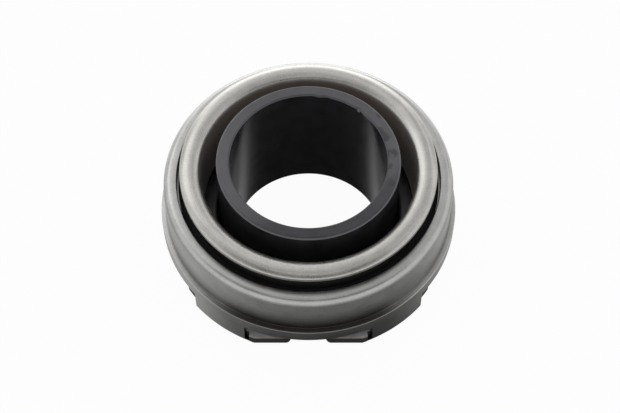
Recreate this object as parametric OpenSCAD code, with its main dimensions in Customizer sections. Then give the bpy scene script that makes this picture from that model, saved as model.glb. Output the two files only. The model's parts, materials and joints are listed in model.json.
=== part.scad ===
// Self-centring clutch release bearing.
// A moulded guide sleeve slides on the gearbox's guide tube, and the fork pushes on the back plate.
// The pressed cover holds plate, sleeve flange, bearing and wave spring together with four tabs.
// The bearing can creep sideways under the cover, so its contact ring centres on the clutch fingers.
// Millimetres. +Z runs along the bore towards the clutch, and z = 0 is the rear end of the sleeve.

/* [Guide sleeve] */
// Bore that runs on the guide tube
bore_d = 31; // [28:0.5:34]
// Wall of the tube
sleeve_wall = 2.6; // [2:0.1:3.2]
// Length of the tube from end to end
sleeve_length = 29; // [28:0.5:34]
// Length of tube behind the back plate
sleeve_tail = 5.1; // [3:0.1:6]
// Thickness of the flange that the bearing rests on
sleeve_flange_t = 3.5; // [2.5:0.1:4.5]
// How far the flange reaches past the bearing's outer ring
sleeve_flange_rim = 0.35; // [0:0.05:0.8]
// Chamfer at the outer edges of the tube's ends
sleeve_chamfer = 0.5; // [0.2:0.1:0.8]
// Chamfer at the mouths of the bore
bore_chamfer = 0.3; // [0.1:0.1:0.8]
// Fillet between tube and flange
sleeve_fillet = 1.2; // [0.4:0.1:1.6]

/* [Back plate] */
// Thickness of the plate that the fork pushes
plate_t = 2; // [1.5:0.1:3]
// Width across the two flat sides
plate_w = 48.5; // [46:0.5:52]
// How far the front and rear ears reach past the round sides
ear_reach = 1; // [0.4:0.1:2]
// How much of each ear is cut off flat
ear_flat = 2; // [1:0.1:3]
// Slot between an ear and the tab beside it
ear_slot = 0.5; // [0.2:0.1:1.5]
// Width of the notch in the middle of each ear
notch_w = 7; // [4:0.5:12]
// Depth of that notch
notch_depth = 2.2; // [1.6:0.1:4]
// Rounding of the notch's corners
notch_r = 1; // [0.3:0.1:1.4]

/* [Cover] */
// Sheet that the cover is pressed from
cover_t = 0.9; // [0.6:0.1:1.2]
// Outer rounding of the front shoulder
shoulder_r = 1.5; // [1:0.1:2]
// Outward step from the wall to the skirt
skirt_step = 1.1; // [0.9:0.1:2]
// Height of the step above the back plate
step_rise = 6.1; // [5:0.1:7]
// Height of the skirt below the step
skirt_h = 2.9; // [1.5:0.1:3.5]
// Fillet between the wall and the step
step_fillet = 0.15; // [0.1:0.05:0.5]
// Rounding of the step's outer edge
step_r = 0.3; // [0.2:0.1:0.6]
// Width of each tab, as an angle
tab_angle = 24; // [16:1:32]
// Angle between the two tabs beside an ear
tab_spread = 74; // [66:1:90]
// Length of tab that is bent under the plate
tab_foot = 3.2; // [2:0.1:5]
// How far the foot spreads towards the ear as it is bent, as an angle
foot_spread = 1.5; // [0.5:0.5:3]
// Outer rounding of the tab's bend
tab_bend_r = 1.4; // [0.9:0.1:1.8]

/* [Contact ring] */
// Free space between the sleeve and the ring
sleeve_gap = 3.2; // [2.5:0.1:4.5]
// Width of the face that meets the clutch fingers
contact_w = 4.13; // [3.8:0.01:4.5]
// Crest of that face, measured from the ring's bore
contact_crest = 2.2; // [1.8:0.1:2.6]
// Height of the crest above the cover
contact_rise = 3.8; // [3:0.1:5]
// Thickness of the contact flange
contact_t = 1.4; // [1.2:0.1:2.2]
// Radius of the crowned face
crown_r = 3; // [2.75:0.25:6]
// Rounding of the inner edge
contact_inner_r = 1.2; // [0.5:0.1:1.3]
// Rounding of the outer edge
contact_outer_r = 0.4; // [0.2:0.1:0.6]

/* [Bearing] */
// Diameter of a ball
ball_d = 3.5; // [3:0.1:4]
// Number of balls
ball_count = 20; // [14:1:24]
// Wall of both rings behind their grooves
race_wall = 1.05; // [0.8:0.05:1.6]
// Space between a ball and its groove
race_clearance = 0.06; // [0.05:0.01:0.12]
// Thickness of the cage
cage_t = 0.8; // [0.6:0.1:1]
// Rim of the cage above and below the pockets
cage_rim = 0.7; // [0.5:0.1:1.2]
// Space between a ball and its pocket
pocket_clearance = 0.15; // [0.1:0.05:0.3]
// Space at the two ends of the cage
cage_end_gap = 0.7; // [0.4:0.05:1.5]
// Thickness of the outer ring's inward floor
floor_t = 1.95; // [1.2:0.05:2.5]
// Space between the turning parts and their neighbours
running_gap = 0.3; // [0.2:0.05:0.5]

/* [Seals and spring] */
// Thickness of the front seal where it sits in the outer ring
seal_t = 1.4; // [0.8:0.1:2]
// Thickness of a seal's lip
lip_t = 0.5; // [0.4:0.1:0.6]
// How far the front seal sits below the outer ring's end
seal_recess = 0.3; // [0.1:0.05:0.6]
// Height of the wave spring as fitted
spring_h = 1.3; // [0.9:0.1:2]
// Thickness of the spring's strip
spring_t = 0.4; // [0.2:0.05:0.6]
// Number of waves round the spring
spring_waves = 5; // [3:1:8]

/* [Fits] */
// Sideways travel of the bearing each way from the middle
float_travel = 0.45; // [0.2:0.05:0.6]
// Space left at the end of that travel
float_clearance = 0.1; // [0.05:0.05:0.4]
// Space between pieces that slide face on face
slip_clearance = 0.05; // [0.02:0.01:0.1]
// Space between pieces that are pressed together
press_clearance = 0.02; // [0.01:0.01:0.05]

/* [Hidden] */

// Facets of a full turn, of a small rounding, and of the spring
turn_fn = 128;
round_fn = 32;
spring_steps = 20 * spring_waves;
// Overlap that keeps cuts and fillets clear of coincident faces
overlap = 0.2;

// Radii from the bore outwards
bore_r = bore_d / 2;
sleeve_r = bore_r + sleeve_wall;
ring_bore_r = sleeve_r + sleeve_gap;
contact_r = ring_bore_r + contact_w;
crest_r = ring_bore_r + contact_crest;
race_r = ball_d / 2 + race_clearance;
pitch_r = ring_bore_r + race_wall + race_r;
outer_bore_r = pitch_r + race_r;
outer_r = outer_bore_r + race_wall;
cage_in_r = pitch_r - cage_t / 2;
cage_out_r = pitch_r + cage_t / 2;
neck_r = cage_in_r - running_gap;
outer_shoulder_r = cage_out_r + running_gap;
// The grooves end this far past the ball's equator
shoulder_angle = 15;
tail_r = pitch_r - race_r * cos(shoulder_angle);
rear_lip_r = tail_r + running_gap;
floor_bore_r = rear_lip_r + lip_t;

// The bearing travels both ways at once, so its room is the diagonal of the two travels
float_reach = float_travel * sqrt(2);
cover_lip_r = contact_r + float_reach + float_clearance;
cover_in_r = outer_r + float_reach + running_gap;
cover_r = cover_in_r + cover_t;
skirt_r = cover_r + skirt_step;
skirt_in_r = skirt_r - cover_t;
plate_r = skirt_in_r - float_clearance;
ear_r = plate_r + ear_reach;
sleeve_flange_r = outer_r + sleeve_flange_rim;

// Heights from the rear end of the sleeve
plate_z = sleeve_tail;
flange_z = plate_z + plate_t;
outer_z = flange_z + sleeve_flange_t + slip_clearance;
pocket_r = ball_d / 2 + pocket_clearance;
cage_h = 2 * (pocket_r + cage_rim);
cage_z = outer_z + floor_t + cage_end_gap;
ball_z = cage_z + cage_h / 2;
seal_z = cage_z + cage_h + cage_end_gap;
outer_top = seal_z + seal_t + seal_recess;
spring_z = outer_top + slip_clearance;
lip_z = spring_z + spring_h + slip_clearance;
cover_top = lip_z + cover_t;
crest_z = cover_top + contact_rise;
contact_z = crest_z - contact_t;
tail_z = outer_z + floor_t + running_gap;
step_z = flange_z + step_rise;
skirt_z = step_z - skirt_h;
tab_z = plate_z - cover_t;

// Small edge breaks on the turned rings and the seals
ring_chamfer = 0.3;
seal_round = 0.2;
// Fillet under the contact flange
neck_fillet = 0.5;
// Inner roundings of the cover's bends
lip_bend_r = 0.5;
step_bend_r = 0.3;

// One piece between a square corner and the arc that rounds it, reaching towards dir
module corner(at, dir, r) {
    translate(at)
        mirror([dir[0] < 0 ? 1 : 0, 0])
            mirror([0, dir[1] < 0 ? 1 : 0])
                difference() {
                    translate([-overlap, -overlap]) square(r + overlap);
                    translate([r, r]) circle(r, $fn = round_fn);
                }
}

// One piece between a square corner and the chamfer that breaks it
module bevel(at, dir, c) {
    translate(at)
        mirror([dir[0] < 0 ? 1 : 0, 0])
            mirror([0, dir[1] < 0 ? 1 : 0])
                polygon([[-overlap, -overlap], [c + overlap, -overlap], [-overlap, c + overlap]]);
}

// A rectangle of the section, between two radii and two heights
module band(r1, r2, z1, z2) {
    translate([r1, z1]) square([r2 - r1, z2 - z1]);
}

// A section turned once round the bore's axis
module turned() {
    rotate_extrude($fn = turn_fn) children();
}

// The groove that the balls run in
module ball_groove() {
    translate([pitch_r, ball_z]) circle(race_r, $fn = turn_fn);
}

// Moulded sleeve: a tube with one flange near its rear end
module guide_sleeve() {
    color("#2a2b2d") turned() difference() {
        union() {
            band(bore_r, sleeve_r, 0, sleeve_length);
            band(bore_r, sleeve_flange_r, flange_z, flange_z + sleeve_flange_t);
            corner([sleeve_r, flange_z + sleeve_flange_t], [1, 1], sleeve_fillet);
        }
        bevel([sleeve_r, sleeve_length], [-1, -1], sleeve_chamfer);
        bevel([sleeve_r, 0], [-1, 1], sleeve_chamfer);
        bevel([bore_r, sleeve_length], [1, -1], bore_chamfer);
        bevel([bore_r, 0], [1, 1], bore_chamfer);
        bevel([sleeve_flange_r, flange_z + sleeve_flange_t], [-1, -1], ring_chamfer);
    }
}

// Half width of an ear, up to the slot beside the tab
tab_edge_angle = (tab_spread - tab_angle) / 2;
ear_half_w = skirt_in_r * sin(tab_edge_angle) - ear_slot;

// Outline of one ear, on the -Y side
module ear() {
    flat_y = ear_r - ear_flat;
    difference() {
        intersection() {
            circle(ear_r, $fn = turn_fn);
            translate([-ear_half_w, -flat_y]) square([2 * ear_half_w, flat_y]);
        }
        translate([-notch_w / 2, -flat_y - overlap]) square([notch_w, notch_depth + overlap]);
        for (side = [-1, 1])
            corner([side * notch_w / 2, -flat_y], [side, 1], notch_r);
    }
    for (side = [-1, 1])
        corner([side * notch_w / 2, notch_depth - flat_y], [-side, -1], notch_r / 2);
}

// Stamped steel plate: round with two flat sides, and a flat, notched ear at the front and at the rear
module back_plate() {
    // The ears' notches reach into the round plate too
    notch_floor = ear_r - ear_flat - notch_depth;
    color("#6f7072") translate([0, 0, plate_z]) linear_extrude(plate_t) difference() {
        union() {
            difference() {
                intersection() {
                    circle(plate_r, $fn = turn_fn);
                    translate([-plate_w / 2, -plate_r]) square([plate_w, 2 * plate_r]);
                }
                for (side = [-1, 1])
                    translate([-ear_half_w, side > 0 ? notch_floor : -ear_r])
                        square([2 * ear_half_w, ear_r - notch_floor]);
            }
            ear();
            mirror([0, 1]) ear();
        }
        circle(sleeve_r + press_clearance, $fn = turn_fn);
    }
}

// Section of the cover, with the skirt drawn down into the tabs' feet
module cover_section() {
    difference() {
        union() {
            band(cover_lip_r, cover_r, lip_z, cover_top);
            band(cover_in_r, cover_r, step_z - cover_t, cover_top);
            band(cover_in_r, skirt_r, step_z - cover_t, step_z);
            band(skirt_in_r, skirt_r, tab_z, step_z);
            band(skirt_in_r - tab_foot, skirt_r, tab_z, plate_z);
            corner([cover_in_r, lip_z], [-1, -1], lip_bend_r);
            corner([cover_r, step_z], [1, 1], step_fillet);
            corner([skirt_in_r, step_z - cover_t], [-1, -1], step_bend_r);
        }
        corner([cover_r, cover_top], [-1, -1], shoulder_r);
        corner([cover_in_r, step_z - cover_t], [1, 1], cover_t / 2);
        corner([skirt_r, step_z], [-1, -1], step_r);
        corner([skirt_r, tab_z], [-1, 1], tab_bend_r);
    }
}

// Opening in the skirt between two tabs, with its middle at an azimuth and between two heights
module skirt_window(middle, angle, z1, z2) {
    inside_r = skirt_in_r - tab_foot - overlap;
    rotate([0, 0, middle - angle / 2])
        rotate_extrude(angle = angle, $fn = turn_fn)
            band(inside_r, skirt_r + overlap, z1, z2);
}

// Pressed cover: front lip, wall, stepped skirt, and four tabs bent under the back plate
module cover() {
    // Beside an ear the window is narrow, and at the two sides it is wide
    ear_window = tab_spread - tab_angle;
    side_window = 180 - tab_spread - tab_angle;
    color("#b3b4b4") difference() {
        turned() cover_section();
        for (turn = [0, 180]) {
            skirt_window(turn - 90, ear_window, plate_z, skirt_z);
            skirt_window(turn - 90, ear_window - 2 * foot_spread, tab_z - overlap, plate_z + overlap);
            skirt_window(turn, side_window, tab_z - overlap, skirt_z);
        }
    }
}

// One corner of the wave spring: its height follows the waves round the turn
function wave(i) = (spring_h - spring_t) / 2 * (1 + cos(spring_waves * 360 * i / spring_steps));
function spring_point(i, r, up) = let (a = 360 * i / spring_steps)
    [r * cos(a), r * sin(a), spring_z + wave(i) + up];

// Wave spring: a flat ring of strip with even waves, between the bearing and the cover's lip
module wave_spring() {
    in_r = cover_lip_r + slip_clearance;
    out_r = outer_r + float_clearance;
    corners = [[in_r, 0], [out_r, 0], [out_r, spring_t], [in_r, spring_t]];
    n = len(corners);
    points = [for (i = [0:spring_steps - 1], c = corners) spring_point(i, c[0], c[1])];
    faces = [for (i = [0:spring_steps - 1], k = [0:n - 1], half = [0, 1])
        let (
            next = (i + 1) % spring_steps,
            a = i * n + k,
            b = i * n + (k + 1) % n,
            c = next * n + (k + 1) % n,
            d = next * n + k
        )
        half == 0 ? [a, b, c] : [a, c, d]];
    color("#8c8f92") polyhedron(points, faces);
}

// Outer ring: a cup with an inward floor, and a groove that meets the balls from below and outside
module outer_ring() {
    color("#a5a7a8") turned() difference() {
        union() {
            band(outer_bore_r, outer_r, outer_z, outer_top);
            band(outer_shoulder_r, outer_bore_r + overlap, outer_z, ball_z);
            band(floor_bore_r, outer_bore_r + overlap, outer_z, outer_z + floor_t);
        }
        ball_groove();
        corner([outer_r, outer_z], [-1, 1], race_wall / 2);
        bevel([outer_r, outer_top], [-1, -1], ring_chamfer);
    }
}

// Front seal: a rubber ring in the outer ring's mouth, with a lip that stands up round the neck
module front_seal() {
    in_r = neck_r + running_gap;
    out_r = outer_bore_r - press_clearance;
    lip_top = contact_z - running_gap;
    color("#17171a") turned() difference() {
        union() {
            band(in_r, out_r, seal_z, seal_z + seal_t);
            band(in_r, in_r + lip_t, seal_z, lip_top);
            corner([in_r + lip_t, seal_z + seal_t], [1, 1], lip_t);
        }
        corner([in_r + lip_t, lip_top], [-1, -1], seal_round);
        corner([out_r, seal_z + seal_t], [-1, -1], seal_round);
    }
}

// Rear seal: a rubber ring in the outer ring's floor, with a lip that stands up round the tail
module rear_seal() {
    out_r = floor_bore_r - press_clearance;
    base_top = outer_z + floor_t;
    base_z = outer_z + ring_chamfer;
    lip_top = base_top + cage_end_gap;
    color("#17171a") turned() difference() {
        union() {
            band(ring_bore_r + running_gap, out_r, base_z, base_top);
            band(rear_lip_r, out_r, base_z, lip_top);
        }
        corner([out_r, lip_top], [-1, -1], seal_round);
        corner([ring_bore_r + running_gap, base_top], [1, -1], seal_round);
    }
}

// What rounds one edge of the crowned face: an arc that runs smoothly into the crown and the side.
// side is 1 at the outer edge and -1 at the inner edge.
module crown_edge(edge_r, side, r) {
    centre_r = edge_r - side * r;
    crown_z = crest_z - crown_r;
    reach = crown_r - r;
    centre_z = crown_z + sqrt(pow(reach, 2) - pow(centre_r - crest_r, 2));
    // Where the small arc and the crown touch
    touch_r = crest_r + (centre_r - crest_r) * crown_r / reach;
    difference() {
        band(
            min(touch_r, edge_r + side * overlap), max(touch_r, edge_r + side * overlap),
            centre_z, crest_z + overlap
        );
        translate([centre_r, centre_z]) circle(r, $fn = round_fn);
    }
}

// Contact ring: the turning inner ring, whose crowned front flange meets the clutch fingers
module contact_ring() {
    color("#c4c3be") turned() difference() {
        union() {
            intersection() {
                band(ring_bore_r, contact_r, contact_z, crest_z);
                translate([crest_r, crest_z - crown_r]) circle(crown_r, $fn = turn_fn);
            }
            band(ring_bore_r, neck_r, ball_z, contact_z + overlap);
            band(ring_bore_r, tail_r, tail_z, ball_z);
            corner([neck_r, contact_z], [1, -1], neck_fillet);
        }
        ball_groove();
        crown_edge(ring_bore_r, -1, contact_inner_r);
        crown_edge(contact_r, 1, contact_outer_r);
        bevel([ring_bore_r, tail_z], [1, 1], ring_chamfer);
        bevel([tail_r, tail_z], [-1, 1], ring_chamfer);
    }
}

// Cage: a thin ring with one round pocket for each ball
module ball_cage() {
    color("#8f6b3d") difference() {
        turned() band(cage_in_r, cage_out_r, cage_z, cage_z + cage_h);
        for (i = [1:ball_count])
            rotate([0, 0, 360 * i / ball_count])
                translate([cage_in_r - cage_t, 0, ball_z])
                    rotate([0, 90, 0]) cylinder(h = 3 * cage_t, r = pocket_r, $fn = round_fn);
    }
}

// One steel ball, in its pocket
module ball(i) {
    color("#d5d7d9") rotate([0, 0, 360 * i / ball_count])
        translate([pitch_r, 0, ball_z]) sphere(d = ball_d, $fn = round_fn);
}

guide_sleeve();
back_plate();
cover();
wave_spring();
outer_ring();
front_seal();
rear_seal();
contact_ring();
ball_cage();
for (i = [1:ball_count])
    ball(i);
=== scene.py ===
import json
import math

import bpy
from mathutils import Matrix, Vector


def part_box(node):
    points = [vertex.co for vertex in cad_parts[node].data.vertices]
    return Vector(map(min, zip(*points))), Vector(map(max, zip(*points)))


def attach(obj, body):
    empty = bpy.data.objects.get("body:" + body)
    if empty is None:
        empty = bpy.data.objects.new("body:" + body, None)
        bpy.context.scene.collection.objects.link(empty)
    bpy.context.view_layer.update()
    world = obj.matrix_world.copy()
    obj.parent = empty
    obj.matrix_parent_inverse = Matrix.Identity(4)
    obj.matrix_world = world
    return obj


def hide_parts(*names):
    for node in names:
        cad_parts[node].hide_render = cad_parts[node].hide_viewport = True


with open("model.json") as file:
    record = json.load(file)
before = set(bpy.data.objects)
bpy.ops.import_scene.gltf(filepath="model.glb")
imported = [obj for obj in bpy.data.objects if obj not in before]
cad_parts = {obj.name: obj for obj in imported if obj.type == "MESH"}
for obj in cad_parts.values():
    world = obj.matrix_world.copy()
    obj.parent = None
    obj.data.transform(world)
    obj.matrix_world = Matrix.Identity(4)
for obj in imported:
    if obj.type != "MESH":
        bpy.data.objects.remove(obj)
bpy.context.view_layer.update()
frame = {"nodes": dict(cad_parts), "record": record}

# Guide sleeve
# One moulding of black glass-filled nylon: a tube that slides on the gearbox's guide tube, with a
# flange near its rear end. Both ends are faced on a lathe, which leaves fine marks round the bore.
mm = 0.001
guide_bore = next(mount for mount in frame["record"]["mounts"] if mount["name"] == "guide_bore")
bore_r = guide_bore["dims"]["r_mm"] * mm
plate_low, plate_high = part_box("back_plate")
sleeve_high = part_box("guide_sleeve")[1]
sleeve_wall = 2.6 * mm
sleeve_r = bore_r + sleeve_wall
sleeve_top = sleeve_high.z
sleeve_flange_t = 3.5 * mm
sleeve_flange_r = sleeve_high.x
sleeve_flange_z = plate_high.z
sleeve_flange_top = sleeve_flange_z + sleeve_flange_t
sleeve_chamfer = 0.5 * mm
bore_chamfer = 0.3 * mm
sleeve_fillet = 1.2 * mm
flange_edge = 0.3 * mm
bore_edge = [(bore_r + bore_chamfer, sleeve_top), (bore_r, sleeve_top - bore_chamfer)]
# Burrs and bites that facing left on the bore's edge: azimuth, half width in degrees, inward depth
bore_nicks = ((82, 2.2, 0.22 * mm), (76, 2.0, -0.1 * mm), (50, 2.4, -0.35 * mm), (42, 3.0, 0.12 * mm))
nick_length = 0.5 * mm

nylon_black = (0.005, 0.005, 0.006)
nylon_grey = (0.018, 0.018, 0.021)
smudge_black = (0.006, 0.006, 0.006)
nylon_gloss = (0.95, 0.95, 1.0)
faced_roughness = 0.37
moulded_roughness = 0.18
nylon_relief = 0.006 * mm
# Spans over which the finish changes, in millimetres: the faced end, and the smudges and the dull front
# on it. A slant turns the dull front towards the right.
faced_z = (sleeve_top / mm - 0.4, sleeve_top / mm - 0.1)
smudge_x = (10, 15)
smudge_y = (-9, -4)
dull_front_y = (-16, -6)
dull_front_slant = -0.4
# How strong a blotch is where it turns into a smudge
smudge_spots = (0.5, 0.62)
# The gloss of a turned surface is stretched across its marks, a quarter turn from their direction
across_marks = 0.25


def arc(centre, radius, start, end, steps=8):
    """Points of an arc in a section, from one angle to another, in degrees."""
    angles = [math.radians(start + (end - start) * i / steps) for i in range(steps + 1)]
    return [(centre[0] + radius * math.cos(a), centre[1] + radius * math.sin(a)) for a in angles]


def turned(outline, steps=320, change=None):
    """Points and faces of a closed section turned once round the bore's axis.
    change, where given, moves a point of the section in or out by its azimuth."""
    count = len(outline)
    points = []
    for step in range(steps):
        azimuth = 360 * step / steps
        a = math.radians(azimuth)
        for r, z in outline:
            if change:
                r = change(azimuth, r, z)
            points.append((r * math.cos(a), r * math.sin(a), z))
    faces = []
    for step in range(steps):
        here = step * count
        there = (step + 1) % steps * count
        for k in range(count):
            after = (k + 1) % count
            faces.append((here + k, there + k, there + after, here + after))
    return points, faces


sleeve_outline = [
    (bore_r + bore_chamfer, 0),
    (sleeve_r - sleeve_chamfer, 0),
    (sleeve_r, sleeve_chamfer),
    (sleeve_r, sleeve_flange_z),
    (sleeve_flange_r, sleeve_flange_z),
    (sleeve_flange_r, sleeve_flange_top - flange_edge),
    (sleeve_flange_r - flange_edge, sleeve_flange_top),
    *arc((sleeve_r + sleeve_fillet, sleeve_flange_top + sleeve_fillet), sleeve_fillet, 270, 180),
    (sleeve_r, sleeve_top - sleeve_chamfer),
    (sleeve_r - sleeve_chamfer, sleeve_top),
    *bore_edge,
    (bore_r, sleeve_top - bore_chamfer - nick_length),
    (bore_r, sleeve_top - bore_chamfer - 2 * nick_length),
    (bore_r, bore_chamfer),
]


def nick_bore_edge(azimuth, r, z):
    """The radius of a point of the section: on the bore's front edge, less at a burr and more at a bite."""
    if (r, z) in bore_edge:
        for middle, half_width, depth in bore_nicks:
            r -= depth * math.exp(-((azimuth - middle) / half_width) ** 2)
    return r


def add_node(material, kind, inputs=None, **settings):
    """A shader node; a socket given as an input is linked, and a plain value is set."""
    node = material.node_tree.nodes.new(kind)
    for name, value in settings.items():
        setattr(node, name, value)
    for name, value in (inputs or {}).items():
        if isinstance(value, bpy.types.NodeSocket):
            material.node_tree.links.new(value, node.inputs[name])
        else:
            node.inputs[name].default_value = value
    return node


def link(material, shader, **sockets):
    """Join the outputs to the shader's sockets, whose names have spaces for the underscores."""
    for name, output in sockets.items():
        material.node_tree.links.new(output, shader.inputs[name.replace("_", " ")])


def calculate(material, operation, a, b=0.0, c=0.0):
    """The value of one sum."""
    return add_node(material, "ShaderNodeMath", {0: a, 1: b, 2: c}, operation=operation).outputs[0]


def product(material, first, *factors):
    """The values multiplied together."""
    for factor in factors:
        first = calculate(material, "MULTIPLY", first, factor)
    return first


def weighted(material, base, *shares):
    """A base with other values added to it, each times its weight."""
    for value, weight in shares:
        base = calculate(material, "MULTIPLY_ADD", value, weight, base)
    return base


def ramp(material, value, span, levels=(0.0, 1.0)):
    """One level below the span, the other above it, and a smooth change between them."""
    inputs = {"Value": value, "From Min": span[0], "From Max": span[1]}
    inputs.update({"To Min": levels[0], "To Max": levels[1]})
    return add_node(material, "ShaderNodeMapRange", inputs, interpolation_type="SMOOTHSTEP").outputs[0]


def mix_colour(material, factor, a, b):
    """One colour into another. Each is an output, or three shares of red, green and blue."""
    a, b = [colour if isinstance(colour, bpy.types.NodeSocket) else (*colour, 1) for colour in (a, b)]
    return add_node(material, "ShaderNodeMix", {0: factor, 6: a, 7: b}, data_type="RGBA").outputs[2]


def new_finish(name):
    """A material with a bare shader, and the surface's places in millimetres."""
    material = bpy.data.materials.new(name)
    material.use_nodes = True
    shader = material.node_tree.nodes["Principled BSDF"]
    metres = add_node(material, "ShaderNodeTexCoord").outputs["Object"]
    scaled = add_node(material, "ShaderNodeVectorMath", {0: metres, "Scale": 1 / mm}, operation="SCALE")
    apart = add_node(material, "ShaderNodeSeparateXYZ", {0: scaled.outputs[0]})
    x, y, z = apart.outputs
    flat = add_node(material, "ShaderNodeCombineXYZ", {0: x, 1: y}).outputs[0]
    radius = add_node(material, "ShaderNodeVectorMath", {0: flat}, operation="LENGTH")
    outwards = add_node(material, "ShaderNodeVectorMath", {0: flat}, operation="NORMALIZE")
    place = {"all": scaled.outputs[0], "x": x, "y": y, "z": z}
    place["r"] = radius.outputs["Value"]
    place["round"] = outwards.outputs[0]
    return material, shader, place


def blotches(material, place, scale, detail=3.0):
    """Cloudy variation of that many blotches a millimetre, from 0 to 1."""
    inputs = {"Vector": place["all"], "Scale": scale, "Detail": detail}
    return add_node(material, "ShaderNodeTexNoise", inputs).outputs[0]


def lathe_marks(material, place, lines):
    """Marks that run round the axis: that many lines a millimetre, broken up along their length."""
    across = product(material, calculate(material, "ADD", place["r"], place["z"]), lines)
    inputs = {"Vector": place["round"], "W": across, "Scale": 3.0, "Detail": 4.0}
    return add_node(material, "ShaderNodeTexNoise", inputs, noise_dimensions="4D").outputs[0]


def round_grain(material):
    """The direction of marks that run round the axis, for the stretched gloss of turned surfaces."""
    return add_node(material, "ShaderNodeTangent", direction_type="RADIAL", axis="Z").outputs[0]


def bump(material, height, distance):
    """A normal that tilts with the height, which is worth that distance."""
    inputs = {"Height": height, "Distance": distance, "Strength": 1.0}
    return add_node(material, "ShaderNodeBump", inputs).outputs[0]


def sleeve_nylon():
    """Black nylon with turning marks, smooth on its walls and dull on the faced front end, which has greasy
    smudges on its right and is dullest in front."""
    material, shader, place = new_finish("sleeve_nylon")
    marks = lathe_marks(material, place, lines=5)
    cloud = blotches(material, place, scale=0.35)
    fine = blotches(material, place, scale=6, detail=2)
    faced = ramp(material, place["z"], faced_z)
    on_right = ramp(material, place["x"], smudge_x)
    spots = ramp(material, blotches(material, place, scale=0.42, detail=2), smudge_spots)
    behind_front = ramp(material, place["y"], smudge_y)
    smudge = product(material, faced, on_right, spots, behind_front)
    tone = ramp(material, weighted(material, 0.0, (marks, 0.5), (cloud, 0.5)), (0.4, 0.6))
    black = mix_colour(material, tone, nylon_black, nylon_grey)
    black = mix_colour(material, smudge, black, smudge_black)
    slanted_y = weighted(material, place["y"], (place["x"], dull_front_slant))
    in_front = ramp(material, slanted_y, dull_front_y, (1.0, 0.0))
    dull = weighted(material, faced_roughness, (marks, 0.16), (smudge, 0.25), (in_front, 0.33))
    smooth = weighted(material, moulded_roughness, (cloud, 0.08))
    roughness = add_node(material, "ShaderNodeMix", {0: faced, 2: smooth, 3: dull}).outputs[0]
    height = weighted(material, marks, (fine, 0.4))
    link(
        material, shader, Base_Color=black, Roughness=roughness, Tangent=round_grain(material),
        Normal=bump(material, height, nylon_relief),
    )
    shader.inputs["IOR"].default_value = 1.6
    shader.inputs["Specular IOR Level"].default_value = 1.0
    shader.inputs["Specular Tint"].default_value = (*nylon_gloss, 1)
    shader.inputs["Anisotropic"].default_value = 0.85
    shader.inputs["Anisotropic Rotation"].default_value = across_marks
    return material


def add_piece(name, points, faces, finish):
    """A smooth mesh with crisp edges."""
    crisp_angle = math.radians(28)
    mesh = bpy.data.meshes.new(name)
    mesh.from_pydata(points, [], faces)
    mesh.shade_smooth()
    mesh.set_sharp_from_angle(angle=crisp_angle)
    mesh.materials.append(finish)
    piece = bpy.data.objects.new(name, mesh)
    bpy.context.scene.collection.objects.link(piece)
    return piece


sleeve_points, sleeve_faces = turned(sleeve_outline, steps=480, change=nick_bore_edge)
sleeve = add_piece("sleeve_moulding", sleeve_points, sleeve_faces, sleeve_nylon())
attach(sleeve, "carrier")
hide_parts("guide_sleeve")

# Back plate
# Steel plate stamped from strip, so its sheared edges are rough; oil and painted shade make them dark.
# It sits behind the sleeve's flange, and the fork pushes on it. Its sides are flat, and its front and
# rear ears are notched.
plate_half_w = plate_high.x
plate_t = plate_high.z - plate_low.z
plate_middle_z = (plate_low.z + plate_high.z) / 2
plate_hole_gap = 0.02 * mm
plate_hole_r = sleeve_r + plate_hole_gap
plate_edge = 0.15 * mm
ear_flat = 2 * mm
ear_reach = 1 * mm
ear_half_w = 11.78 * mm
ear_flat_y = -plate_high.y
ear_r = ear_flat - ear_flat_y
plate_r = ear_r - ear_reach
notch_half_w = 3.5 * mm
notch_depth = 2.2 * mm
notch_floor_y = ear_flat_y + notch_depth
notch_mouth_r = 1 * mm
notch_corner_r = 0.5 * mm

strip_grey = (0.5, 0.49, 0.49)
strip_pale = (0.7, 0.69, 0.685)
# Oil and painted shade on the sheared edges: every face that stands upright is darkened nearly to black
edge_oil_and_shade_black = (0.01, 0.008, 0.007)
edge_oil_and_shade_brown = (0.05, 0.042, 0.036)
strip_metal = 0.35
strip_roughness = 0.48
strip_relief = 0.01 * mm
# How far up or down a surface faces where the sheared edge turns into the flat of the strip
sheared_tilt = (0.6, 0.98)

plate_round_angle = -math.degrees(math.acos(ear_half_w / plate_r))
plate_flat_angle = -math.degrees(math.acos(plate_half_w / plate_r))
ear_corner_angle = math.degrees(math.atan2(-math.sqrt(ear_r ** 2 - ear_half_w ** 2), ear_half_w))
ear_flat_angle = math.degrees(math.asin(ear_flat_y / ear_r))
plate_quarter = [
    (0, notch_floor_y),
    *arc((notch_half_w - notch_corner_r, notch_floor_y - notch_corner_r), notch_corner_r, 90, 0),
    *arc((notch_half_w + notch_mouth_r, ear_flat_y + notch_mouth_r), notch_mouth_r, 180, 270),
    *arc((0, 0), ear_r, ear_flat_angle, ear_corner_angle, steps=4),
    *arc((0, 0), plate_r, plate_round_angle, plate_flat_angle, steps=30),
    (plate_half_w, 0),
]
plate_half = plate_quarter + [(x, -y) for x, y in reversed(plate_quarter[:-1])]
plate_outline = plate_half + [(-x, y) for x, y in reversed(plate_half[1:-1])]
plate_hole = arc((0, 0), plate_hole_r, 0, 360, steps=180)[:-1]


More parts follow.
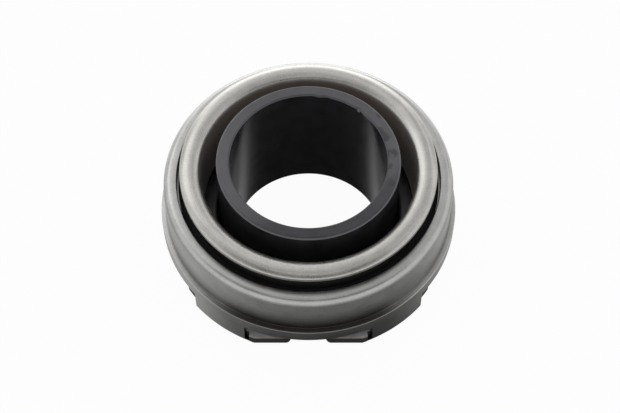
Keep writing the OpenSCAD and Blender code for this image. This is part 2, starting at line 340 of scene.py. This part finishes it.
def stamped(name, outlines, thickness, edge):
    """A flat blank with its holes and softened edges, as points and faces with its middle at z = 0."""
    curve = bpy.data.curves.new(name, "CURVE")
    curve.dimensions = "2D"
    curve.fill_mode = "BOTH"
    curve.extrude = thickness / 2 - edge
    curve.bevel_depth = edge
    curve.bevel_resolution = 2
    curve.offset = -edge
    for outline in outlines:
        spline = curve.splines.new("POLY")
        spline.points.add(len(outline) - 1)
        spline.points.foreach_set("co", [value for x, y in outline for value in (x, y, 0, 1)])
        spline.use_cyclic_u = True
    blank = bpy.data.objects.new(name, curve)
    bpy.context.scene.collection.objects.link(blank)
    made_up = blank.evaluated_get(bpy.context.evaluated_depsgraph_get())
    blank_mesh = bpy.data.meshes.new_from_object(made_up)
    points = [tuple(v.co) for v in blank_mesh.vertices]
    faces = [tuple(p.vertices) for p in blank_mesh.polygons]
    bpy.data.objects.remove(blank)
    return points, faces


def stamped_steel():
    """Dull strip steel, with dark oil and painted shade in the rough of its sheared edges."""
    material, shader, place = new_finish("plate_steel")
    cloud = blotches(material, place, scale=0.6)
    fine = blotches(material, place, scale=9, detail=2)
    facing = add_node(material, "ShaderNodeTexCoord").outputs["Normal"]
    facing_z = add_node(material, "ShaderNodeSeparateXYZ", {0: facing}).outputs[2]
    upright = calculate(material, "ABSOLUTE", facing_z)
    # Painted shade with the oil: the darkening follows which way a face points, not where it was sheared
    sheared_and_shaded = ramp(material, upright, sheared_tilt, (1.0, 0.0))
    flat = mix_colour(material, cloud, strip_grey, strip_pale)
    oil_and_shade = mix_colour(material, fine, edge_oil_and_shade_black, edge_oil_and_shade_brown)
    link(
        material, shader,
        Base_Color=mix_colour(material, sheared_and_shaded, flat, oil_and_shade),
        Metallic=weighted(material, strip_metal, (sheared_and_shaded, -strip_metal)),
        Roughness=weighted(material, strip_roughness, (fine, 0.2)),
        Normal=bump(material, fine, strip_relief),
    )
    return material


plate_points, plate_faces = stamped("plate_blank", (plate_outline, plate_hole), plate_t, plate_edge)
plate_points = [(x, y, z + plate_middle_z) for x, y, z in plate_points]
back_plate = add_piece("back_plate_stamping", plate_points, plate_faces, stamped_steel())
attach(back_plate, "carrier")
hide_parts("back_plate")

# Bearing inside the cover
# The outer ring stands on the sleeve's flange, the balls run in a brown nylon cage, and a rubber ring
# seals the floor. All are hidden once the cover is on, so the turned solids keep their own shape.


def steel(
    name, colour, dark, roughness, lines, grain, specks=0.0, relief=0.004 * mm,
    grease_and_shade=None, grease_and_shade_colour=None, grease_and_shade_dulls=0.0,
):
    """Steel whose colour, gloss and relief follow marks round the axis, grit and cloudy patches. grain is
    how far the gloss is stretched across the marks, and specks lets more dark pits show. Where a coat
    is given, it says how thick a darker coat lies: brown grease with painted shade in the ring's bore,
    and painted shade alone in the cover's corner. A coat that dulls the gloss hides the metal too."""
    material, shader, place = new_finish(name)
    marks = lathe_marks(material, place, lines=lines)
    cloud = blotches(material, place, scale=0.3)
    fine = blotches(material, place, scale=7, detail=2)
    grit = blotches(material, place, scale=2.6, detail=2)
    tone = weighted(material, 0.0, (marks, 0.35), (cloud, 0.35), (grit, 0.3))
    surface = mix_colour(material, ramp(material, tone, (0.3, 0.7)), dark, colour)
    pits = ramp(material, fine, (0.72 - specks, 0.8 - specks))
    pit_colour = [0.45 * share for share in dark]
    surface = mix_colour(material, pits, surface, pit_colour)
    dull = weighted(material, roughness - 0.07, (marks, 0.14), (cloud, 0.08))
    height = weighted(material, marks, (fine, 0.6))
    shader.inputs["Metallic"].default_value = 1.0
    # The coat darkens the colour: brown grease with painted shade, or painted shade alone
    if grease_and_shade:
        thickness = grease_and_shade(material, place)
        grease_and_shade_dark = [0.6 * share for share in grease_and_shade_colour]
        grease_and_shade_tone = mix_colour(material, fine, grease_and_shade_dark, grease_and_shade_colour)
        surface = mix_colour(material, thickness, surface, grease_and_shade_tone)
    if grease_and_shade_dulls:
        dull = weighted(material, dull, (thickness, grease_and_shade_dulls))
        link(material, shader, Metallic=weighted(material, 1.0, (thickness, -1.0)))
    link(
        material, shader, Base_Color=surface, Roughness=dull, Tangent=round_grain(material),
        Normal=bump(material, height, relief),
    )
    shader.inputs["Anisotropic"].default_value = grain
    shader.inputs["Anisotropic Rotation"].default_value = across_marks
    return material


def moulded(name, colour, dark, roughness):
    """Moulded nylon or rubber, with cloudy colour and a fine grain."""
    material, shader, place = new_finish(name)
    cloud = blotches(material, place, scale=0.5)
    fine = blotches(material, place, scale=8, detail=2)
    link(
        material, shader,
        Base_Color=mix_colour(material, cloud, dark, colour),
        Roughness=weighted(material, roughness, (fine, 0.15)),
        Normal=bump(material, fine, 0.008 * mm),
    )
    return material


def dress(node, finish):
    """Give a CAD node its finish."""
    piece = frame["nodes"][node]
    piece.data.materials.clear()
    piece.data.materials.append(finish)


race_steel = steel(
    "race_steel", colour=(0.6, 0.6, 0.6), dark=(0.5, 0.5, 0.5), roughness=0.25, lines=6, grain=0.5,
)
ball_steel = steel(
    "ball_steel", colour=(0.78, 0.78, 0.79), dark=(0.72, 0.72, 0.73), roughness=0.1, lines=0.5,
    grain=0.0,
)
cage_nylon = moulded("cage_nylon", colour=(0.5, 0.4, 0.25), dark=(0.4, 0.31, 0.18), roughness=0.45)
seal_rubber = moulded(
    "seal_rubber", colour=(0.01, 0.01, 0.01), dark=(0.006, 0.006, 0.006), roughness=0.75,
)
dress("outer_ring", race_steel)
dress("ball_cage", cage_nylon)
dress("rear_seal", seal_rubber)
for node in frame["nodes"]:
    if node.startswith("ball_") and node != "ball_cage":
        dress(node, ball_steel)

# Contact ring
# The bearing's inner ring, turned and hardened. Its crowned front flange meets the clutch fingers, its
# tail carries the inner groove, and its bore clears the sleeve.
ring_low, ring_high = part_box("contact_ring")
ball_low, ball_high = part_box("ball_20")
contact_r = ring_high.x
crest_z = ring_high.z
ring_tail_z = ring_low.z
contact_w = 4.13 * mm
contact_crest = 2.2 * mm
contact_t = 1.4 * mm
contact_inner_r = 1.2 * mm
contact_outer_r = 0.4 * mm
crown_r = 3 * mm
ball_d = 3.5 * mm
race_wall = 1.05 * mm
race_clearance = 0.06 * mm
neck_inset = 0.7 * mm
neck_fillet = 0.5 * mm
ring_tail_angle = 15
ring_chamfer = 0.3 * mm
ring_bore_r = contact_r - contact_w
contact_z = crest_z - contact_t
crown_at = (ring_bore_r + contact_crest, crest_z - crown_r)
groove_r = ball_d / 2 + race_clearance
pitch_r = ring_bore_r + race_wall + groove_r
groove_at = (pitch_r, (ball_low.z + ball_high.z) / 2)
neck_r = pitch_r - neck_inset
ring_neck_angle = math.degrees(math.acos(neck_inset / groove_r))
ring_tail_r = pitch_r - groove_r * math.cos(math.radians(ring_tail_angle))

# Brown grease on the ring's bore, and painted shade that darkens the bore below the bright face
grease_and_shade_brown = (0.36, 0.29, 0.24)
grease_and_shade_levels = (0.3, 1.0)
# Where the grease and the painted shade thin out, in millimetres
grease_and_shade_r = (ring_bore_r / mm + 0.05, ring_bore_r / mm + 0.8)
grease_and_shade_z = (crest_z / mm - 2.0, crest_z / mm - 0.3)
grease_and_shade_y = (-4, 19)


def crown_edge(edge_r, side, radius):
    """Centre of the arc that rounds an edge of the crown, and the angle where it runs into the crown."""
    reach = crown_r - radius
    aside = edge_r - side * radius - crown_at[0]
    height = math.sqrt(reach ** 2 - aside ** 2)
    return (crown_at[0] + aside, crown_at[1] + height), math.degrees(math.atan2(height, aside))


outer_edge_at, outer_touch = crown_edge(contact_r, 1, contact_outer_r)
inner_edge_at, inner_touch = crown_edge(ring_bore_r, -1, contact_inner_r)
ring_outline = [
    (ring_bore_r + ring_chamfer, ring_tail_z),
    (ring_tail_r - ring_chamfer, ring_tail_z),
    (ring_tail_r, ring_tail_z + ring_chamfer),
    *arc(groove_at, groove_r, 180 + ring_tail_angle, 180 - ring_neck_angle, steps=12),
    *arc((neck_r + neck_fillet, contact_z - neck_fillet), neck_fillet, 180, 90),
    (contact_r, contact_z),
    *arc(outer_edge_at, contact_outer_r, 0, outer_touch),
    *arc(crown_at, crown_r, outer_touch, inner_touch, steps=28)[1:-1],
    *arc(inner_edge_at, contact_inner_r, inner_touch, 180, steps=14),
    (ring_bore_r, ring_tail_z + ring_chamfer),
]


def grease_and_shade_in_bore(material, place):
    """How thick the brown grease and the painted shade are on the ring's bore, darkening below the bright
    face: most of it lies at the back.
    """
    inside = ramp(material, place["r"], grease_and_shade_r, (1.0, 0.0))
    below = ramp(material, place["z"], grease_and_shade_z, (1.0, 0.0))
    at_back = ramp(material, place["y"], grease_and_shade_y, grease_and_shade_levels)
    return product(material, inside, below, at_back)


contact_steel = steel(
    "contact_steel", colour=(0.53, 0.52, 0.494), dark=(0.42, 0.41, 0.39), roughness=0.24, lines=4,
    grain=0.5, specks=0.06, grease_and_shade=grease_and_shade_in_bore, grease_and_shade_colour=grease_and_shade_brown, grease_and_shade_dulls=0.25,
)
ring_points, ring_faces = turned(ring_outline)
contact_ring = add_piece("contact_ring_turning", ring_points, ring_faces, contact_steel)
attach(contact_ring, "contact")
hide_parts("contact_ring")

# Front seal
# Black rubber ring pressed into the outer ring's mouth. Its lip stands up round the contact ring's neck,
# deep in the dark gap under the contact flange.
seal_low, seal_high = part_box("front_seal")
seal_gap = 0.3 * mm
seal_t = 1.4 * mm
seal_lip_t = 0.5 * mm
seal_lip_fillet = 0.5 * mm
seal_round = 0.2 * mm
seal_out_r = seal_high.x
seal_in_r = neck_r + seal_gap
seal_base_top = seal_low.z + seal_t
seal_lip_r = seal_in_r + seal_lip_t
seal_outline = [
    (seal_in_r, seal_low.z),
    (seal_out_r, seal_low.z),
    *arc((seal_out_r - seal_round, seal_base_top - seal_round), seal_round, 0, 90, steps=4),
    *arc((seal_lip_r + seal_lip_fillet, seal_base_top + seal_lip_fillet), seal_lip_fillet, 270, 180),
    *arc((seal_lip_r - seal_round, seal_high.z - seal_round), seal_round, 0, 90, steps=4),
    (seal_in_r, seal_high.z),
]
seal_points, seal_faces = turned(seal_outline)
front_seal = add_piece("front_seal_moulding", seal_points, seal_faces, seal_rubber)
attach(front_seal, "outer_race")
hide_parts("front_seal")

# Wave spring
# A ring of blued spring strip between the outer ring and the cover's lip, whose waves hold the bearing
# by friction wherever it has centred. It is hidden too, and the CAD solid keeps its shape.
spring_steel = steel(
    "spring_steel", colour=(0.3, 0.31, 0.36), dark=(0.2, 0.2, 0.25), roughness=0.35, lines=3, grain=0.2,
)
dress("wave_spring", spring_steel)

# Cover
# One satin pressing of 0.9 mm steel sheet: front lip, rounded shoulder, wall, and a skirt that steps out
# over the back plate. Four tabs are bent under the plate and hold everything together.
cover_low, cover_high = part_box("cover")
sheet = 0.9 * mm
cover_top = cover_high.z
skirt_r = cover_high.x
skirt_in_r = skirt_r - sheet
skirt_step = 1.1 * mm
cover_r = skirt_r - skirt_step
cover_in_r = cover_r - sheet
lip_gap = 0.736 * mm
lip_r = contact_r + lip_gap
lip_edge_r = 0.2 * mm
lip_bend_r = 0.5 * mm
shoulder_r = 1.5 * mm
step_rise = 6.1 * mm
step_z = plate_high.z + step_rise
step_fillet = 0.06 * mm
step_edge_r = 0.2 * mm
skirt_h = 2.9 * mm
skirt_bottom = step_z - skirt_h
tab_bottom = cover_low.z
tab_bend_r = 1.4 * mm
tab_inner_bend_r = 0.15 * mm
tab_foot = 3.2 * mm
cut_edge = 0.1 * mm
# In degrees: a tab's width, the spread of the two beside an ear, how much further a foot spreads than
# its tab, and the widest column of the mesh
tab_angle = 24
tab_spread = 74
foot_spread = 1.5
column_angle = 1.5

# Painted shade in the corner between the wall and the step, darkest in front
corner_shade_black = (0.09, 0.085, 0.08)
shade_up_wall = (0.95, 0.0)
shade_at_foot = (0.45, 0.0)
# Where the painted shade thins out, in millimetres
shaded_wall_z = (step_z / mm + 0.2, step_z / mm + 6.0)
shaded_foot_r = (cover_r / mm + 0.1, cover_r / mm + 0.45)
shaded_step_r = (cover_r / mm + 0.92, cover_r / mm + 1.25)
shaded_front_y = (-27, -20)

# The sheet's section from the skirt's inner edge, up inside, over the lip and down outside
skirt_section = [
    (skirt_in_r, skirt_bottom),
    (skirt_in_r, step_z - sheet),
    (cover_in_r, step_z - sheet),
    *arc((cover_in_r - lip_bend_r, cover_top - sheet - lip_bend_r), lip_bend_r, 0, 90, steps=5),
    (lip_r, cover_top - sheet),
    *arc((lip_r + lip_edge_r, cover_top - lip_edge_r), lip_edge_r, 180, 90, steps=4),
    *arc((cover_r - shoulder_r, cover_top - shoulder_r), shoulder_r, 90, 0, steps=16),
    *arc((cover_r + step_fillet, step_z + step_fillet), step_fillet, 180, 270, steps=10),
    *arc((skirt_r - step_edge_r, step_z - step_edge_r), step_edge_r, 90, 0, steps=8),
    (skirt_r, skirt_bottom),
]
# A tab's two sides, from the skirt down, round the bend and in under the plate
tab_bend_at = (skirt_r - tab_bend_r, tab_bottom + tab_bend_r)
tab_inner_bend_at = (skirt_in_r - tab_inner_bend_r, tab_bottom + sheet + tab_inner_bend_r)
foot_top_angle = -math.degrees(math.asin((tab_bend_r - sheet) / tab_bend_r))
tab_upright = [(skirt_r, skirt_bottom), *arc(tab_bend_at, tab_bend_r, 0, foot_top_angle, steps=2)]
foot_under = [
    *arc(tab_bend_at, tab_bend_r, foot_top_angle, -90, steps=6),
    (skirt_in_r - tab_foot, tab_bottom),
]
tab_outside = tab_upright + foot_under[1:]
tab_inside = [
    (skirt_in_r, skirt_bottom),
    *arc(tab_inner_bend_at, tab_inner_bend_r, 0, -90, steps=8),
    (skirt_in_r - tab_foot, tab_bottom + sheet),
]
# Below the plate the foot is wider, because the bend presses its metal sideways, towards the ear
foot_section = foot_under + [tab_inside[-1], tab_inside[-2]]
upright_section = tab_upright + tab_inside[-2::-1]


def pressed_cover():
    """Points and faces of the cover: full rings down to the skirt's edge, and four tabs below it."""
    points, numbers, faces = [], {}, []

    def point(azimuth, at):
        """The number of a section's point at an azimuth, which neighbouring faces share."""
        key = (round(azimuth % 360, 6), at)
        if key not in numbers:
            a = math.radians(azimuth)
            numbers[key] = len(points)
            points.append((at[0] * math.cos(a), at[0] * math.sin(a), at[1]))
        return numbers[key]

    def sweep(section, start, end):
        """One column of faces between two azimuths."""
        for k in range(len(section) - 1):
            faces.append((
                point(start, section[k]), point(start, section[k + 1]),
                point(end, section[k + 1]), point(end, section[k]),
            ))

    def tab_side(azimuth, turn):
        """The cut side of a tab and its foot."""
        for k in range(len(tab_outside) - 1):
            corners = (tab_outside[k], tab_outside[k + 1], tab_inside[k + 1], tab_inside[k])
            faces.append(tuple(point(azimuth, at) for at in corners[::turn]))

    def spread_side(azimuth, turn):
        """The cut side of a tab whose foot spreads further."""
        foot_end = azimuth - turn * foot_spread
        sweep(foot_section + foot_section[:1], min(azimuth, foot_end), max(azimuth, foot_end))
        faces.append(tuple(point(azimuth, at) for at in upright_section[::turn]))
        faces.append(tuple(point(foot_end, at) for at in foot_section[::turn]))

    tab_section = tab_outside + tab_inside[::-1]
    skirt_edge = [tab_outside[0], tab_inside[0]]
    tab_middles = sorted(side + turn * tab_spread / 2 for side in (-90, 90) for turn in (-1, 1))
    next_middles = tab_middles[1:] + [tab_middles[0] + 360]
    for number, (middle, next_middle) in enumerate(zip(tab_middles, next_middles)):
        tab_start = middle - tab_angle / 2
        tab_end = middle + tab_angle / 2
        next_start = next_middle - tab_angle / 2
        stretches = ((tab_start, tab_end, tab_section), (tab_end, next_start, skirt_edge))
        for start, end, low_section in stretches:
            columns = math.ceil((end - start) / column_angle)
            for c in range(columns):
                here = start + (end - start) * c / columns
                there = start + (end - start) * (c + 1) / columns
                sweep(skirt_section, here, there)
                sweep(low_section, here, there)
        # The ear is at the end of every other tab, and at the start of those between them
        if number % 2 == 0:
            tab_side(tab_start, 1)
            spread_side(tab_end, -1)
        else:
            spread_side(tab_start, 1)
            tab_side(tab_end, -1)
    return points, faces


def painted_corner_shade(material, place):
    """How dark the painted shade is: most in front, in the corner between wall and step, and fading up the
    wall."""
    up_wall = ramp(material, place["z"], shaded_wall_z, shade_up_wall)
    at_foot = ramp(material, place["r"], shaded_foot_r, shade_at_foot)
    on_step = ramp(material, place["r"], shaded_step_r, (1.0, 0.0))
    in_front = ramp(material, place["y"], shaded_front_y, (1.0, 0.0))
    round_foot = calculate(material, "MAXIMUM", at_foot, product(material, on_step, in_front))
    return product(material, up_wall, round_foot)


# The cover's corner is darkened with painted shade
cover_steel = steel(
    "cover_steel", colour=(0.5, 0.497, 0.49), dark=(0.39, 0.388, 0.38), roughness=0.26, lines=1.5,
    grain=0.5, specks=0.03, relief=0.003 * mm, grease_and_shade=painted_corner_shade, grease_and_shade_colour=corner_shade_black,
)
cover_points, cover_faces = pressed_cover()
cover = add_piece("cover_pressing", cover_points, cover_faces, cover_steel)
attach(cover, "carrier")
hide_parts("cover")
edges = cover.modifiers.new("cut_edges", "BEVEL")
edges.width = cut_edge
edges.segments = 2
edges.limit_method = "ANGLE"
edges.angle_limit = math.radians(50)
edges.harden_normals = True

# Table
# A white table that the part stands on, painted so that it takes a faint shadow. The metal doesn't mirror
# the table itself, because the cards of the next section stand for it there.
table_size = 4.0
white_share = 0.96
all_but_glossy = ("camera", "diffuse", "transmission", "volume_scatter", "shadow")


def stage_piece(name, points, faces, finish, hidden_from=all_but_glossy):
    """A surface of the studio, which isn't part of the object. Unless told otherwise, it shows in
    reflections alone."""
    mesh = bpy.data.meshes.new(name)
    mesh.from_pydata(points, [], faces)
    mesh.materials.append(finish)
    piece = bpy.data.objects.new(name, mesh)
    bpy.context.scene.collection.objects.link(piece)
    for ray in hidden_from:
        setattr(piece, "visible_" + ray, False)
    return piece


def flat_sheet(name, size, place, finish, tilt=0, hidden_from=all_but_glossy):
    """A rectangle of the studio, tilted up from level."""
    x, y = size[0] / 2, size[1] / 2
    corners = [(-x, -y, 0), (x, -y, 0), (x, y, 0), (-x, y, 0)]
    piece = stage_piece(name, corners, [(0, 1, 2, 3)], finish, hidden_from)
    piece.location = place
    piece.rotation_euler.x = math.radians(tilt)


def seen_white(tree_owner):
    """1 for what the camera and the gloss of metal and glass see, and 0 for the light that falls."""
    rays = add_node(tree_owner, "ShaderNodeLightPath").outputs
    seen = calculate(tree_owner, "MAXIMUM", rays["Is Camera Ray"], rays["Is Glossy Ray"])
    return calculate(tree_owner, "MAXIMUM", seen, rays["Is Transmission Ray"])


def white_table():
    """White paint that takes a faint shadow."""
    material = bpy.data.materials.new("white_table")
    material.use_nodes = True
    material.node_tree.nodes.clear()
    paint = add_node(material, "ShaderNodeBsdfDiffuse", {"Color": (0.9, 0.9, 0.9, 1)})
    white = add_node(material, "ShaderNodeEmission", {"Color": (1, 1, 1, 1), "Strength": 1.0})
    share = product(material, seen_white(material), white_share)
    layers = {0: share, 1: paint.outputs[0], 2: white.outputs[0]}
    mixed = add_node(material, "ShaderNodeMixShader", layers)
    add_node(material, "ShaderNodeOutputMaterial", {"Surface": mixed.outputs[0]})
    material.cycles.emission_sampling = "NONE"
    return material


flat_sheet("table", (table_size, table_size), (0, 0, 0), white_table(), hidden_from=("glossy",))

# Cards that the metal mirrors
# They show in reflections alone, and a level of 1 is white. A shaded sheet stands for the table, with a
# dark well under the bore. A dark collar is round the lens, two dim panels hang above, and a bright
# screen stands behind.
shade_r = 200 * mm
shade_z = 0.3 * mm
well_depth = 30 * mm
collar_distance = 0.42
collar_elevations = (48, 67)
collar_azimuths = (-205, 25)
panel_z = 0.45
overhead_size = (0.5, 0.2)
overhead_level = 0.62
right_panel_size = (0.5, 0.4)
right_panel_xy = (0.28, 0.3)
right_panel_level = 0.63
screen_size = (2.0, 0.6)
screen_at = (0, 0.7, 0.3)
# Levels, in pairs for the two ends of a span below
near_shade = (0.02, 0.35)
far_shade = (0.0, 0.5)
glare = (0.58, 1.4)
collar_grey = (0.05, 0.85)
screen_upwards = (2.7, 1.0)
screen_sideways = (1.0, 0.33)
well_level = 0.03
bar_level = 0.5
bar_back_level = 0.38
# Spans in millimetres
near_shade_r = (36, 48)
far_shade_r = (46, 160)
bore_shade_r = (16, 24)
bar_front_y = (14, 18.5)
bar_back_y = (20, 25)
screen_upwards_y = (-150, 290)
screen_sideways_x = (100, 700)
# The screen fades that many times sooner on the right
screen_right_share = 1.22
# Spans of how far round a place lies, from -1 in front of the part to 1 behind it
shade_turn = (-1.0, 0.0)
glare_turn = (0.1, 0.9)
collar_turn = (-0.8, 0.3)
# The part's shadow is a little less than the front half, and leans to the right
shade_back = 0.14
shade_lean = -0.22


def shade_ring(name, hole_r, outer_r, height, finish, steps=96):
    """A level sheet with a round hole under the bore."""
    points = []
    for i in range(steps):
        a = 2 * math.pi * i / steps
        for r in (hole_r, outer_r):
            points.append((r * math.cos(a), r * math.sin(a), height))
    count = len(points)
    faces = [(k, k + 1, (k + 3) % count, (k + 2) % count) for k in range(0, count, 2)]
    stage_piece(name, points, faces, finish)


def lens_collar(name, distance, elevations, azimuths, finish, steps=44):
    """A dark band round the front of the part, between two heights over the horizon."""
    points = []
    for i in range(steps + 1):
        azimuth = math.radians(azimuths[0] + (azimuths[1] - azimuths[0]) * i / steps)
        for elevation in elevations:
            level = distance * math.cos(math.radians(elevation))
            up = distance * math.sin(math.radians(elevation))
            points.append((level * math.cos(azimuth), level * math.sin(azimuth), up))
    faces = [(k, k + 2, k + 3, k + 1) for k in range(0, 2 * steps, 2)]
    stage_piece(name, points, faces, finish)


def glow(name):
    """A material that only gives off light, that light, and the surface's places in millimetres."""
    material, shader, place = new_finish(name)
    material.node_tree.nodes.remove(shader)
    light = add_node(material, "ShaderNodeEmission")
    link(material, material.node_tree.nodes["Material Output"], Surface=light.outputs[0])
    material.cycles.emission_sampling = "NONE"
    return material, light, place


def table_shade():
    """The table as the metal sees it: the part's shadow in front, glare behind, and dark at the bore."""
    material, light, place = glow("table_shade")
    backwards = calculate(material, "DIVIDE", place["y"], place["r"])
    rightwards = calculate(material, "DIVIDE", place["x"], place["r"])
    lean = weighted(material, shade_back, (rightwards, shade_lean))
    behind = ramp(material, calculate(material, "ADD", backwards, lean), shade_turn)
    near = ramp(material, place["r"], near_shade_r, near_shade)
    far = ramp(material, place["r"], far_shade_r, far_shade)
    front = calculate(material, "ADD", near, far)
    back = ramp(material, backwards, glare_turn, glare)
    lit = weighted(material, front, (behind, calculate(material, "SUBTRACT", back, front)))
    at_bore = ramp(material, place["r"], bore_shade_r, (well_level, 1.0))
    link(material, light, Strength=product(material, lit, at_bore))
    return material


def bore_well():
    """The dark under the bore with one pale bar across it, which the bore's wall mirrors as two
    streaks."""
    material, light, place = glow("bore_well")
    bar_front = ramp(material, place["y"], bar_front_y)
    bar_back = ramp(material, place["y"], bar_back_y, (1.0, bar_back_level))
    bar = product(material, bar_front, bar_back)
    link(material, light, Strength=weighted(material, well_level, (bar, bar_level)))
    return material


def collar_shade():
    """Nearly black in front, and grey towards the sides."""
    material, light, place = glow("collar_black")
    backwards = calculate(material, "DIVIDE", place["y"], place["r"])
    link(material, light, Strength=ramp(material, backwards, collar_turn, collar_grey))
    return material


def even_glow(name, level):
    """A sheet of even brightness."""
    material, light, place = glow(name)
    light.inputs["Strength"].default_value = level
    return material


def screen_white():
    """Brightest in the middle, near the table, and fading upwards and to the sides, sooner on the right."""
    material, light, place = glow("screen_white")
    to_left = product(material, place["x"], -1.0)
    to_right = product(material, place["x"], screen_right_share)
    sideways = calculate(material, "MAXIMUM", to_right, to_left)
    upwards_level = ramp(material, place["y"], screen_upwards_y, screen_upwards)
    sideways_level = ramp(material, sideways, screen_sideways_x, screen_sideways)
    link(material, light, Strength=product(material, upwards_level, sideways_level))
    return material


shade_ring("table_shade", bore_r, shade_r, shade_z, table_shade())
flat_sheet("bore_well", (2 * shade_r, 2 * shade_r), (0, 0, -well_depth), bore_well())
lens_collar("lens_collar", collar_distance, collar_elevations, collar_azimuths, collar_shade())
flat_sheet("overhead_panel", overhead_size, (0, 0, panel_z), even_glow("panel_grey", overhead_level))
right_panel_grey = even_glow("right_panel_grey", right_panel_level)
flat_sheet("right_panel", right_panel_size, (*right_panel_xy, panel_z), right_panel_grey)
flat_sheet("back_screen", screen_size, screen_at, screen_white(), tilt=90)

# Room and softboxes
# A room that looks white and lights the part evenly from all round, and two square softboxes behind the
# part, of which the left one is brighter.
room = bpy.data.worlds.new("white_room")
room.use_nodes = True
room.node_tree.nodes.clear()
room_light = add_node(room, "ShaderNodeBackground", {"Color": (1, 1, 1, 1), "Strength": 0.6})
room_white = add_node(room, "ShaderNodeBackground", {"Color": (1, 1, 1, 1), "Strength": 1.0})
room_layers = {0: seen_white(room), 1: room_light.outputs[0], 2: room_white.outputs[0]}
room_mix = add_node(room, "ShaderNodeMixShader", room_layers)
add_node(room, "ShaderNodeOutputWorld", {"Surface": room_mix.outputs[0]})
room.cycles.sampling_method = "NONE"
bpy.context.scene.world = room

softbox_size = 0.36
part_middle = Vector((0, 0, 15 * mm))


def softbox(name, place, brightness):
    """A square light that faces the part. Its power goes with its area, so a larger face is no brighter."""
    light = bpy.data.lights.new(name, "AREA")
    light.shape = "SQUARE"
    light.size = softbox_size
    light.energy = brightness * math.pi * softbox_size ** 2
    lamp = bpy.data.objects.new(name, light)
    lamp.location = place
    lamp.rotation_euler = (part_middle - Vector(place)).to_track_quat("-Z", "Y").to_euler()
    bpy.context.scene.collection.objects.link(lamp)


softbox("left_softbox", place=(-0.33, 0.36, 0.44), brightness=0.75)
softbox("right_softbox", place=(0.33, 0.36, 0.44), brightness=0.5)

# Camera
# It looks down on the part from the front, with the notched ear towards it.
image_w_px = 620
focal_px = 1500
camera_pitch = 57.99
camera_place = (0.00031, -0.16309, 0.27252)
camera_data = bpy.data.cameras.new("camera")
camera_data.sensor_width = 36
camera_data.lens = camera_data.sensor_width * focal_px / image_w_px
camera_data.clip_start = 0.01
camera = bpy.data.objects.new("camera", camera_data)
tilt_up = Matrix.Rotation(math.radians(90 - camera_pitch), 4, "X")
camera.matrix_world = Matrix.Translation(camera_place) @ tilt_up
bpy.context.scene.collection.objects.link(camera)
bpy.context.scene.camera = camera
bpy.context.scene.view_settings.view_transform = "Standard"

bpy.context.view_layer.update()
